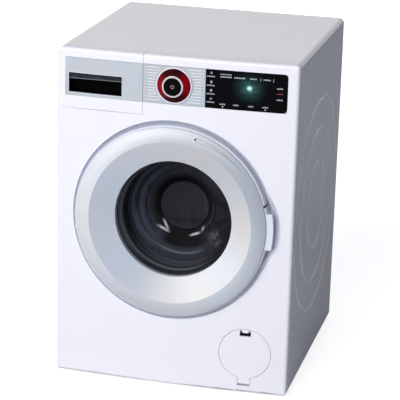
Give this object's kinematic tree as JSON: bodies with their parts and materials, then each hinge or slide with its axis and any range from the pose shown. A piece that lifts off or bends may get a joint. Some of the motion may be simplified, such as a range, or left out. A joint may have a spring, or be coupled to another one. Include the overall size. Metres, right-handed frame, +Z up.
{
  "type": "toy washing machine",
  "caption": "Toy front-loading washing machine with a hinged round door, geared turning drum, detergent drawer, program knob, lit display and service flap.",
  "frame": {"origin": "bottom centre of the bounding box, on the floor under the feet", "axes": "+X to the machine's right seen from the front, +Y to its back, +Z up"},
  "size_m": [0.185, 0.204, 0.262],
  "materials": {
    "white_plastic": "smooth white moulding with a soft gloss",
    "grey_white_plastic": "fine matte moulding",
    "silver_plastic": "silver lacquer on plastic",
    "door_silver": "silver lacquer with a satin sheen",
    "black_gloss": "polished black plastic",
    "screen_glow": "dark screen with a pale teal glow",
    "lamp_clear": "clear lamp",
    "red_gloss": "polished dark red plastic",
    "smoky_window": "smoky clear plastic",
    "dark_rubber": "matte rubber",
    "clear_tube": "milky soft tube",
    "dark_plastic": "fine matte moulding",
    "tub_plastic": "plain grey moulding",
    "drum_silver": "silver lacquer on plastic",
    "paddle_plastic": "smooth white moulding",
    "bright_steel": "bright zinc",
    "motor_can": "plain steel can",
    "brass": "turned",
    "gear_plastic": "natural acetal",
    "green_board": "solder-masked board",
    "cell_wrap": "wrapped cells"
  },
  "bodies": {
    "cabinet": {"cabinet_shell": "white_plastic", "front_panel": "white_plastic", "knob_collar": "white_plastic", "base_plate": "grey_white_plastic", "rear_cover": "grey_white_plastic", "battery_cover": "grey_white_plastic", "hinge_bracket": "grey_white_plastic", "latch_catch": "grey_white_plastic", "drawer_housing": "grey_white_plastic", "knob_plate": "silver_plastic", "display_window": "black_gloss", "display_screen": "screen_glow", "display_lamp": "lamp_clear", "door_seal": "dark_rubber", "foot_front_left": "dark_rubber", "foot_front_right": "dark_rubber", "foot_rear_left": "dark_rubber", "foot_rear_right": "dark_rubber", "drain_tube": "dark_rubber", "drain_spout": "dark_rubber", "fill_tube": "clear_tube", "knob_switch": "dark_plastic", "speaker": "dark_plastic", "gear_plate": "dark_plastic", "battery_box": "dark_plastic", "flap_cup": "dark_plastic", "outer_tub": "tub_plastic", "tub_saddle_front": "tub_plastic", "tub_saddle_rear": "tub_plastic", "rear_screws": "bright_steel", "hinge_pin": "bright_steel", "flap_pin": "bright_steel", "idler_axle": "bright_steel", "battery_contacts": "bright_steel", "battery_screw": "bright_steel", "motor": "motor_can", "shaft_bush": "brass", "control_board": "green_board", "battery_cells": "cell_wrap"},
    "door": {"door_frame": "white_plastic", "door_ring": "door_silver", "door_window": "smoky_window", "window_retainer": "dark_plastic", "door_screws": "bright_steel", "door_latch": "dark_plastic"},
    "drum": {"drum_shell": "drum_silver", "drum_paddles": "paddle_plastic", "drum_shaft": "bright_steel", "drum_gear": "gear_plastic"},
    "idler": {"idler_gear": "gear_plastic"},
    "pinion": {"motor_pinion": "brass"},
    "drawer": {"drawer_front": "white_plastic", "drawer_trim": "silver_plastic", "drawer_cup": "black_gloss", "drawer_grip": "black_gloss", "detergent_tray": "grey_white_plastic"},
    "knob": {"knob_ring": "red_gloss", "knob_bezel": "silver_plastic", "knob_cap": "black_gloss"},
    "flap": {"flap_cover": "white_plastic"}
  },
  "joints": [
    {"name": "door_hinge", "type": "hinge", "parent": "cabinet", "child": "door", "pos_m": [-0.0745, -0.096, 0.135], "axis": [0, 0, -1], "range_deg": [0, 110]},
    {"name": "drum_spin", "type": "hinge", "parent": "cabinet", "child": "drum", "pos_m": [-0.0009, 0.028, 0.135], "axis": [0, 1, 0], "continuous": true},
    {"name": "idler_spin", "type": "hinge", "parent": "cabinet", "child": "idler", "pos_m": [0.01615, 0.04, 0.10547], "axis": [0, 1, 0], "continuous": true},
    {"name": "pinion_spin", "type": "hinge", "parent": "cabinet", "child": "pinion", "pos_m": [0.0242, 0.04, 0.09153], "axis": [0, 1, 0], "continuous": true},
    {"name": "drawer_slide", "type": "slide", "parent": "cabinet", "child": "drawer", "axis": [0, -1, 0], "range_m": [0, 0.06]},
    {"name": "knob_turn", "type": "hinge", "parent": "cabinet", "child": "knob", "pos_m": [-0.0011, -0.092, 0.2403], "axis": [0, -1, 0], "continuous": true},
    {"name": "flap_hinge", "type": "hinge", "parent": "cabinet", "child": "flap", "pos_m": [0.0593, -0.09227, 0.0111], "axis": [1, 0, 0], "range_deg": [0, 90]}
  ],
  "couplings": [
    {"joint": "idler_spin", "follows": "drum_spin", "ratio": -2.4},
    {"joint": "pinion_spin", "follows": "drum_spin", "ratio": 4}
  ]
}
